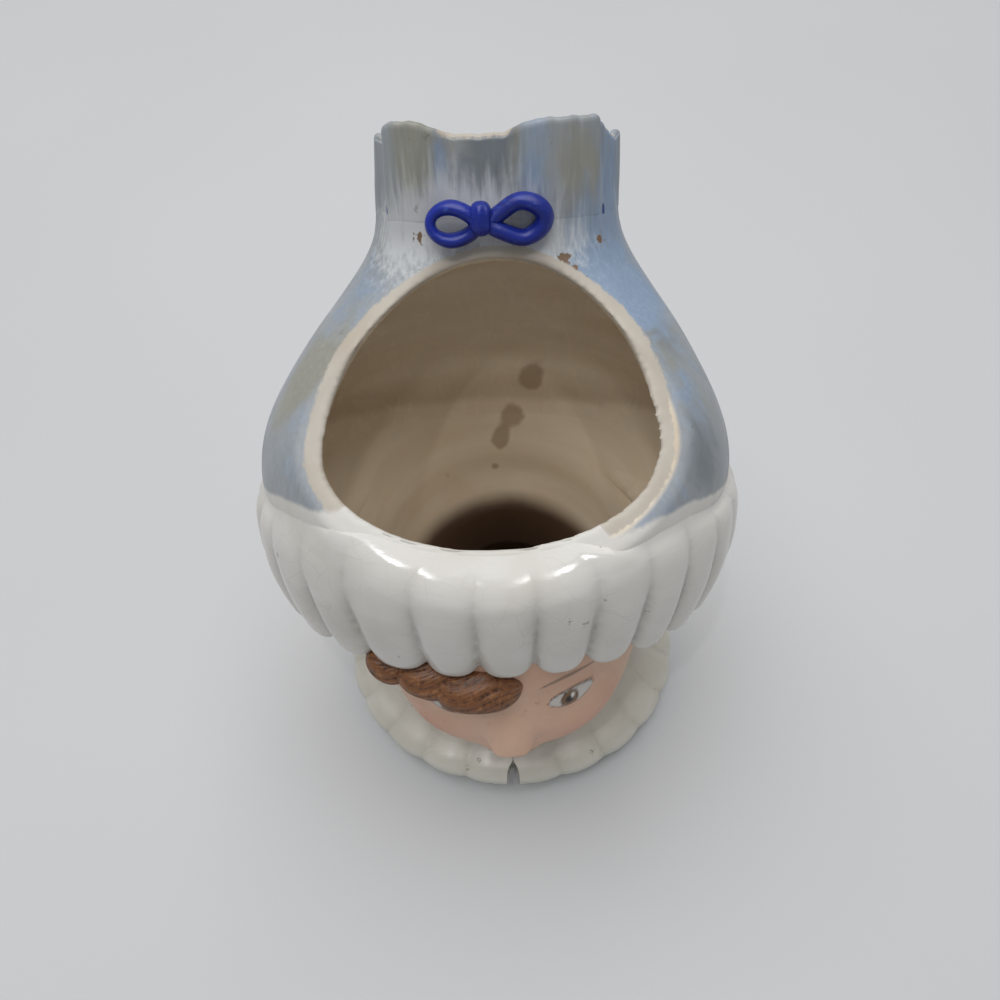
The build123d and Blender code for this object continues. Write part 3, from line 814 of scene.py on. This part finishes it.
def tint(red, green, blue):
    # screen colour 0-255 to the shader's linear colour
    return tuple(((c / 255.0 + 0.055) / 1.055) ** 2.4 for c in (red, green, blue)) + (1.0,)


class Finish:
    # wires shader nodes in the order in which they are written
    def __init__(self, tree):
        self.tree = tree

    def add(self, kind, inputs=None, **settings):
        node = self.tree.nodes.new(kind if kind.startswith(("Node", "Geometry")) else "ShaderNode" + kind)
        for key, value in settings.items():
            setattr(node, key, value)
        for key, value in (inputs or {}).items():
            self.feed(node.inputs[key], value)
        return node

    def feed(self, socket, value):
        if isinstance(value, bpy.types.NodeSocket):
            self.tree.links.new(value, socket)
        else:
            socket.default_value = value

    def spot(self):
        return self.add("TexCoord").outputs["Object"]

    def value(self, name):
        return self.add("Attribute", attribute_name=name).outputs["Fac"]

    def turn(self, vector, scale=(1, 1, 1), angles=(0, 0, 0)):
        return self.add("Mapping", {"Vector": vector, "Scale": scale, "Rotation": angles}).outputs["Vector"]

    def noise(self, vector, scale, detail=3.0, bend=0.0):
        values = {"Vector": vector, "Scale": scale, "Detail": detail, "Distortion": bend}
        return self.add("TexNoise", values).outputs["Fac"]

    def step(self, value, low, high, first=0.0, last=1.0):
        limits = {"Value": value, "From Min": low, "From Max": high, "To Min": first, "To Max": last}
        return self.add("MapRange", limits, interpolation_type="SMOOTHSTEP").outputs["Result"]

    def calc(self, operation, a, b=0.0, c=0.0):
        return self.add("Math", {0: a, 1: b, 2: c}, operation=operation).outputs[0]

    def times(self, a, b):
        return self.calc("MULTIPLY", a, b)

    def scaled(self, a, scale, more):
        return self.calc("MULTIPLY_ADD", a, scale, more)

    def mix(self, share, first, second, blend="MIX"):
        # plain colours are given as screen values
        first, second = (tint(*c) if isinstance(c, (tuple, list)) else c for c in (first, second))
        return self.add("Mix", {0: share, 6: first, 7: second}, data_type="RGBA", blend_type=blend).outputs[2]

    def use(self, group, inputs):
        return self.add("Group", inputs, node_tree=group).outputs


def newTree(kind, name, inputs, outputs):
    tree = bpy.data.node_groups.new(name, kind + "NodeTree")
    for way, labels in (("INPUT", inputs), ("OUTPUT", outputs)):
        for label in labels:
            shape = label if label in ("Geometry", "Material", "Vector", "Color") else "Float"
            tree.interface.new_socket(label, in_out=way, socket_type="NodeSocket" + shape)
    f = Finish(tree)
    return tree, f, f.add("NodeGroupInput").outputs


def closeTree(f, geometry, material):
    plain = f.add("GeometryNodeRealizeInstances", {"Geometry": geometry}).outputs[0]
    coated = f.add("GeometryNodeSetMaterial", {"Geometry": plain, "Material": material}).outputs[0]
    f.add("NodeGroupOutput", {"Geometry": coated})


def ribsTree():
    # sinks a groove between neighbouring ribs, from the values phase and fade on the points, and stores a
    # mask of the grooves for their dirt and painted shade
    inputs = ("Geometry", "Rib Depth", "Sharpness", "Lobe", "Material")
    tree, f, given = newTree("Geometry", "ribs", inputs, ["Geometry"])
    phase, fade = (f.add("GeometryNodeInputNamedAttribute", {"Name": name}).outputs["Attribute"]
                   for name in ("phase", "fade"))
    phase = f.calc("ABSOLUTE", phase)
    dip = f.times(f.calc("POWER", phase, given["Sharpness"]), given["Rib Depth"])
    crest = f.times(f.scaled(phase, f.times(phase, -1.0), 1.0), given["Lobe"])
    rise = f.times(f.calc("SUBTRACT", crest, dip), fade)
    normal = f.add("GeometryNodeInputNormal").outputs["Normal"]
    offset = f.add("VectorMath", {0: normal, "Scale": rise}, operation="SCALE").outputs[0]
    moved = f.add("GeometryNodeSetPosition", {"Geometry": given["Geometry"], "Offset": offset}).outputs[0]
    # dirt and painted shade along the grooves, strongest at their bottoms
    grooveDirtAndShade = f.times(f.calc("POWER", phase, 7.0), fade)
    values = {"Geometry": moved, "Name": "groove", "Value": grooveDirtAndShade}
    marked = f.add("GeometryNodeStoreNamedAttribute", values, domain="POINT").outputs[0]
    closeTree(f, marked, given["Material"])
    return tree


def strapTree():
    # teardrop path with a rounded strap swept round it
    inputs = ("Half Width", "Half Height", "Pinch", "Band", "Depth", "Far", "Side", "Material")
    tree, f, given = newTree("Geometry", "strap", inputs, ["Geometry"])
    circle = f.add("GeometryNodeCurvePrimitiveCircle", {"Resolution": 96, "Radius": 1.0}).outputs["Curve"]
    x, y, _ = f.add("SeparateXYZ", {0: f.add("GeometryNodeInputPosition").outputs[0]}).outputs
    outward = f.times(x, given["Side"])
    squeeze = f.times(f.step(outward, 0.3, -1.0), given["Pinch"])
    wide = f.scaled(given["Band"], -0.5, given["Half Width"])
    tall = f.scaled(given["Band"], -0.5, given["Half Height"])
    up = f.times(f.times(y, tall), f.calc("SUBTRACT", 1.0, squeeze))
    twist = f.times(f.times(x, y), 0.0008)
    path = f.add("CombineXYZ", {0: f.times(x, wide), 1: up, 2: twist}).outputs[0]
    bent = f.add("GeometryNodeSetPosition", {"Geometry": circle, "Position": path}).outputs[0]
    flat = f.add("GeometryNodeSetCurveNormal", {"Curve": bent}, mode="Z_UP").outputs[0]
    section = f.add("GeometryNodeCurvePrimitiveCircle", {"Resolution": 28, "Radius": 1.0}).outputs["Curve"]
    half = f.add("CombineXYZ", {0: f.times(given["Band"], 0.5), 1: f.times(given["Depth"], 0.5), 2: 1.0})
    section = f.add("GeometryNodeTransform", {"Geometry": section, "Scale": half.outputs[0]}).outputs[0]
    size = f.step(f.calc("DIVIDE", outward, given["Half Width"]), 0.0, 0.9, 1.0, given["Far"])
    values = {"Curve": flat, "Profile Curve": section, "Scale": size}
    closeTree(f, f.add("GeometryNodeCurveToMesh", values).outputs[0], given["Material"])
    return tree


ribs, strap = ribsTree(), strapTree()


def crazingGroup():
    # hairlines of an old glaze, in patches
    tree, f, given = newTree("Shader", "crazing", ("Vector", "Scale", "Width"), ["Lines"])
    spot = given["Vector"]
    drift = f.add("TexNoise", {"Vector": spot, "Scale": 60.0, "Detail": 2.0}).outputs["Color"]
    values = {0: drift, 1: (0.006, 0.006, 0.006), 2: spot}
    moved = f.add("VectorMath", values, operation="MULTIPLY_ADD").outputs[0]
    cells = {"Vector": moved, "Scale": given["Scale"]}
    edge = f.add("TexVoronoi", cells, feature="DISTANCE_TO_EDGE").outputs["Distance"]
    patch = f.step(f.noise(spot, 30.0, 2.0), 0.48, 0.62)
    f.add("NodeGroupOutput", {"Lines": f.times(f.step(edge, given["Width"], 0.0), patch)})
    return tree


def strokesGroup():
    # brush strokes that run up the cap, fine hairs of the brush and broad patches of colour
    tree, f, given = newTree("Shader", "brushStrokes", ["Vector"], ("Hairs", "Patches", "Blots"))
    upright = f.turn(given["Vector"], angles=(math.radians(capAxes["lean"]), 0, 0))
    f.add("NodeGroupOutput", {"Hairs": f.noise(f.turn(upright, (1, 1, 0.1)), 900.0, 3.0),
                              "Patches": f.noise(f.turn(upright, (1, 1, 0.4)), 75.0, 4.0, 0.4),
                              "Blots": f.noise(f.turn(upright, (1, 1, 0.6)), 150.0, 5.0, 0.8)})
    return tree


def grimeGroup():
    # age: a thin uneven film, and dark specks of dirt
    tree, f, given = newTree("Shader", "grime", ("Vector", "Specks"), ("Film", "Dots", "Pits"))
    spot = given["Vector"]
    cells = f.add("TexVoronoi", {"Vector": spot, "Scale": 260.0}).outputs
    rare = f.step(f.add("SeparateColor", {0: cells["Color"]}).outputs[0], 0.93, 0.95)
    near = f.step(f.calc("ADD", cells["Distance"], f.noise(spot, 1500.0, 2.0)), 0.72, 0.6)
    f.add("NodeGroupOutput", {"Film": f.noise(spot, 38.0, 5.0, 0.5), "Pits": f.noise(spot, 420.0, 3.0),
                              "Dots": f.times(f.times(rare, near), given["Specks"])})
    return tree


# the neck colour is dark brown painted shade for the deep hollow
hollow = {"light": (238, 224, 202), "shade": (230, 214, 189), "film": (216, 195, 166),
          "stain": (150, 124, 92), "neck": (92, 73, 58), "tide": 101.5}


def hollowGroup():
    # beige glaze of the hollow, with throwing lines, a tide mark and old water stains, and painted shade that
    # turns it dark brown down in the neck
    tree, f, given = newTree("Shader", "hollowGlaze", ("Vector", "Stain"), ("Color", "Roughness"))
    spot = given["Vector"]
    lines = f.noise(f.turn(spot, (0.1, 0.1, 1)), 160.0, 3.0, 0.3)
    cloud = f.noise(spot, 32.0, 4.0, 0.4)
    color = f.mix(f.step(lines, 0.35, 0.7), hollow["shade"], hollow["light"])
    color = f.mix(f.step(cloud, 0.45, 0.75, 0.0, 0.45), color, hollow["film"])
    tilted = {0: spot, 1: (0.0, 0.643, 0.766)}
    level = f.add("VectorMath", tilted, operation="DOT_PRODUCT").outputs["Value"]
    uneven = f.scaled(f.noise(spot, 45.0, 3.0), 0.006, level)
    tide = hollow["tide"] * mm
    band = f.times(f.step(uneven, tide, tide + 0.004), f.step(uneven, tide + 0.014, tide + 0.003))
    color = f.mix(f.times(band, 0.3), color, hollow["stain"])
    soaked = f.step(f.scaled(f.noise(spot, 260.0, 4.0), 0.35, given["Stain"]), 0.6, 0.86, 0.0, 0.6)
    color = f.mix(soaked, color, hollow["stain"])
    # painted shade: below the neck's level the hollow is coloured dark brown
    deep = f.add("SeparateXYZ", {0: spot}).outputs["Z"]
    color = f.mix(f.step(f.scaled(cloud, 0.004, deep), 0.058, 0.0495), color, hollow["neck"])
    f.add("NodeGroupOutput", {"Color": color, "Roughness": f.step(cloud, 0.3, 0.8, 0.1, 0.22)})
    return tree


crazing, strokes, grime, hollowGlaze = crazingGroup(), strokesGroup(), grimeGroup(), hollowGroup()


def newFinish(name):
    material = bpy.data.materials.new(name)
    material.use_nodes = True
    return material, Finish(material.node_tree), material.node_tree.nodes["Principled BSDF"].inputs


def agedFinish(name, specks):
    material, f, shader = newFinish(name)
    spot = f.spot()
    return material, f, shader, spot, f.use(grime, {"Vector": spot, "Specks": specks})


def roughen(f, shader, height, strength, depth):
    bumped = f.add("Bump", {"Strength": strength, "Distance": depth * mm, "Height": height})
    f.feed(shader["Normal"], bumped.outputs["Normal"])


def whiteGlaze(name, colors):
    material, f, shader, spot, age = agedFinish(name, 0.55)
    hair = f.noise(f.turn(spot, (0.12, 0.3, 1)), 900.0, 3.0)
    color = f.mix(f.step(age["Film"], 0.38, 0.72, 0.0, 0.75), colors["clean"], colors["film"])
    color = f.mix(f.step(hair, 0.5, 0.75, 0.0, 0.22), color, colors["film"])
    # grooves darkened with dirt and painted shade, patchy through the pits noise
    dirtAndShade = f.times(f.value("groove"), f.step(age["Pits"], 0.25, 0.7, 0.35, 1.0))
    color = f.mix(f.times(dirtAndShade, colors["dirtAndShade"]), color, colors["groove"])
    lines = f.use(crazing, {"Vector": spot, "Scale": 150.0, "Width": 0.02})["Lines"]
    color = f.mix(f.times(lines, 0.16), color, colors["groove"])
    color = f.mix(age["Dots"], color, (104, 86, 62))
    # painted shade: the bust's hollow, marked hidden, is coloured dark brown
    color = f.mix(f.value("hidden"), color, hollow["neck"])
    f.feed(shader["Base Color"], color)
    gloss = f.step(age["Film"], 0.3, 0.8, colors["gloss"], colors["gloss"] + 0.16)
    f.feed(shader["Roughness"], f.scaled(f.value("hidden"), 0.5, gloss))
    roughen(f, shader, f.scaled(hair, 0.4, age["Film"]), 0.16, 0.5)
    return material


def brushedPaint():
    # thin blue, grey and olive washes brushed over white glaze, worn at the edges
    material, f, shader, spot, age = agedFinish("brushedPaint", 0.35)
    brush = f.use(strokes, {"Vector": spot})
    inside = f.use(hollowGlaze, {"Vector": spot, "Stain": f.value("stains")})
    patch = f.calc("SUBTRACT", brush["Patches"], 0.5)
    blot = f.calc("SUBTRACT", brush["Blots"], 0.5)
    hairs = f.calc("SUBTRACT", brush["Hairs"], 0.5)
    olive = f.scaled(patch, 2.2, f.scaled(hairs, 0.4, f.value("olive")))
    color = f.mix(f.step(olive, 0.05, 0.9), washes["grey"], washes["olive"])
    sky = f.scaled(blot, 1.5, f.scaled(hairs, 0.4, f.value("sky")))
    color = f.mix(f.step(sky, 0.15, 1.0), color, washes["sky"])
    dark = f.scaled(blot, -1.4, f.scaled(hairs, 0.5, f.value("slate")))
    color = f.mix(f.step(dark, 0.25, 1.0), color, washes["slate"])
    color = f.mix(f.step(hairs, -0.2, 0.25, 0.35, 0.0), color, washes["streak"], "MULTIPLY")
    thin = f.scaled(hairs, 1.1, f.scaled(blot, 0.7, f.value("bare")))
    color = f.mix(f.step(thin, 0.2, 0.95, 0.0, 0.85), color, washes["bare"])
    color = f.mix(f.step(f.scaled(blot, 1.2, f.value("marks")), 0.45, 0.6), color, washes["mark"])
    color = f.mix(age["Dots"], color, (84, 74, 62))
    flake = f.scaled(f.calc("SUBTRACT", f.noise(spot, 700.0, 4.0), 0.5), 2.0, f.value("chips"))
    color = f.mix(f.step(flake, 0.45, 0.6), color, washes["chip"])
    color = f.mix(f.step(f.value("outside"), -0.6, 0.6), inside["Color"], color)
    edge = f.scaled(hairs, 0.45, f.scaled(blot, 0.35, f.value("fromThroat")))
    above = f.calc("MAXIMUM", f.step(f.value("belowRim"), 3.0, 0.0), f.step(f.value("outside"), -0.3, 0.3))
    rim = f.times(f.step(edge, 1.08, 0.86), above)
    rimColor = f.mix(f.step(age["Film"], 0.35, 0.75), washes["rim"], washes["rimFilm"])
    color = f.mix(rim, color, rimColor)
    line = f.scaled(hairs, 0.8, f.scaled(blot, 1.4, f.value("aboveLine")))
    glazed = f.times(f.step(line, 0.8, -0.8), above)
    color = f.mix(glazed, color, f.mix(f.step(age["Film"], 0.38, 0.72), washes["glaze"], washes["glazeFilm"]))
    f.feed(shader["Base Color"], color)
    gloss = f.scaled(rim, 0.2, f.step(brush["Blots"], 0.3, 0.7, 0.34, 0.5))
    f.feed(shader["Roughness"], f.scaled(f.step(f.value("outside"), 0.6, -0.6), -0.18, gloss))
    roughen(f, shader, f.scaled(hairs, 0.6, age["Pits"]), 0.12, 0.35)
    return material


washes = {"grey": (158, 163, 168), "olive": (154, 153, 143), "sky": (143, 161, 184), "slate": (124, 131, 136),
          "streak": (212, 214, 218), "bare": (208, 210, 210), "mark": (40, 56, 120), "chip": (122, 98, 74),
          "rim": (192, 184, 172), "rimFilm": (182, 171, 155), "glaze": (216, 213, 207),
          "glazeFilm": (206, 202, 193)}


def tintedBisque():
    material, f, shader, spot, age = agedFinish("tintedBisque", 0.3)
    inside = f.use(hollowGlaze, {"Vector": spot, "Stain": f.value("stains")})
    color = f.mix(f.step(age["Film"], 0.3, 0.75), (222, 184, 158), (208, 164, 136))
    color = f.mix(f.step(age["Pits"], 0.55, 0.85, 0.0, 0.25), color, (188, 140, 112))
    lines = f.use(crazing, {"Vector": spot, "Scale": 150.0, "Width": 0.012})["Lines"]
    color = f.mix(f.times(lines, 0.12), color, (150, 108, 84))
    drawn = f.add("Attribute", attribute_name="facePaint").outputs
    color = f.mix(drawn["Alpha"], color, drawn["Color"])
    color = f.mix(age["Dots"], color, (120, 90, 66))
    hidden = f.value("inside")
    f.feed(shader["Base Color"], f.mix(hidden, color, inside["Color"]))
    f.feed(shader["Roughness"], f.scaled(hidden, -0.33, f.step(age["Film"], 0.3, 0.8, 0.42, 0.54)))
    roughen(f, shader, f.scaled(age["Pits"], 0.5, age["Film"]), 0.1, 0.3)
    return material


def cobaltPaint():
    material, f, shader, spot, age = agedFinish("cobaltPaint", 0.2)
    hairs = f.noise(f.turn(spot, (0.3, 1, 1)), 1100.0, 3.0)
    color = f.mix(f.step(age["Film"], 0.35, 0.7), (16, 40, 146), (22, 32, 96))
    color = f.mix(f.step(hairs, 0.55, 0.8, 0.0, 0.5), color, (52, 84, 196))
    color = f.mix(f.step(age["Pits"], 0.64, 0.8, 0.0, 0.4), color, (88, 116, 200))
    f.feed(shader["Base Color"], color)
    f.feed(shader["Roughness"], f.step(age["Film"], 0.3, 0.8, 0.34, 0.5))
    roughen(f, shader, hairs, 0.2, 0.25)
    return material


def hairPaint():
    material, f, shader, spot, age = agedFinish("hairPaint", 0.3)
    ridge = f.value("ridge")
    fleck = f.noise(f.turn(spot, (1, 1, 0.35)), 800.0, 4.0, 0.4)
    # golden brush flecks, and partly painted highlight on the raised strands with painted shade in the
    # grooves between them
    strandLightAndFleck = f.scaled(f.calc("SUBTRACT", fleck, 0.5), 1.9, f.scaled(ridge, 0.6, 0.2))
    color = f.mix(f.step(strandLightAndFleck, 0.1, 0.6), (74, 42, 24), (122, 78, 46))
    color = f.mix(f.step(strandLightAndFleck, 0.65, 1.25, 0.0, 0.75), color, (172, 122, 74))
    color = f.mix(f.step(age["Film"], 0.45, 0.7, 0.0, 0.6), color, (98, 56, 30))
    f.feed(shader["Base Color"], color)
    f.feed(shader["Roughness"], f.step(fleck, 0.3, 0.7, 0.36, 0.52))
    roughen(f, shader, f.scaled(fleck, 0.8, ridge), 0.3, 0.5)
    return material


# the groove colour serves the crazing lines and the dirt and painted shade in the grooves
white = whiteGlaze("whiteGlaze", {"clean": (216, 213, 207), "film": (203, 199, 190),
                                  "groove": (140, 135, 124), "dirtAndShade": 0.65, "gloss": 0.09})
cream = whiteGlaze("creamGlaze", {"clean": (212, 210, 199), "film": (198, 195, 182),
                                  "groove": (166, 162, 148), "dirtAndShade": 0.4, "gloss": 0.24})
painted, bisque, cobalt, hair = brushedPaint(), tintedBisque(), cobaltPaint(), hairPaint()
print("finishes made", len(bpy.data.materials))

place(makeBust(), "white_glaze", cream, "bust_base")
place(makeHead(), "bisque_skin", bisque, "head_shell")
place(makeCrown(), "blue_grey_paint", painted, "hat_crown")
place(makeCuff(), "white_glaze", white, "hat_cuff")
place(makeRuffle(), "blue_grey_paint", painted, "cap_ruffle")
place(makeLoop("bowLeftLoop", bow["left"]), "cobalt_paint", cobalt, "bow_left_loop")
place(makeLoop("bowRightLoop", bow["right"]), "cobalt_paint", cobalt, "bow_right_loop")
place(makeKnot(), "cobalt_paint", cobalt, "bow_knot")
for node, (middle, half, turn, strands) in locks.items():
    place(makeLock(node + "_hair", middle, half, turn, strands), "brown_paint", hair, node)
place(makeCollarHalf("collarRight", 1.0), "white_glaze", cream, "collar_right")
place(makeCollarHalf("collarLeft", -1.0), "white_glaze", cream, "collar_left")


studio = {"floor": (206, 207, 208), "ceiling": 17.0, "room": 0.3, "lamp": 1.2}


def addFloor():
    size = 4000.0
    corners = [(-size, -size, 0), (size, -size, 0), (size, size, 0), (-size, size, 0)]
    obj = addMesh("floor", corners, [(0, 1, 2, 3)], smooth=False)
    material, f, shader = newFinish("floorPaper")
    cloud = f.noise(f.spot(), 3.0, 2.0)
    darker = [c - 3 for c in studio["floor"]]
    f.feed(shader["Base Color"], f.mix(f.step(cloud, 0.3, 0.7), studio["floor"], darker))
    shader["Roughness"].default_value = 0.7
    obj.data.materials.append(material)


def addLight(name, energy, spot, target, size):
    data = bpy.data.lights.new(name, "AREA")
    data.energy = energy
    data.shape = "RECTANGLE"
    data.size, data.size_y = size
    lamp = bpy.data.objects.new(name, data)
    lamp.location = Vector(spot) * mm
    lamp.rotation_euler = (Vector(target) - Vector(spot)).to_track_quat("-Z", "Y").to_euler()
    scene.collection.objects.link(lamp)


addFloor()
addLight("ceiling", studio["ceiling"], (-120, 380, 1450), (0, 0, 100), (1.6, 1.2))
addLight("lampLeft", studio["lamp"], (-260, -300, 1500), (0, 0, 100), (0.03, 0.1))
addLight("lampRight", studio["lamp"], (110, -290, 1500), (0, 0, 100), (0.03, 0.1))
world = bpy.data.worlds.new("room")
world.use_nodes = True
world.node_tree.nodes["Background"].inputs["Color"].default_value = (0.95, 0.97, 1.0, 1)
world.node_tree.nodes["Background"].inputs["Strength"].default_value = studio["room"]
scene.world = world
print("studio set")
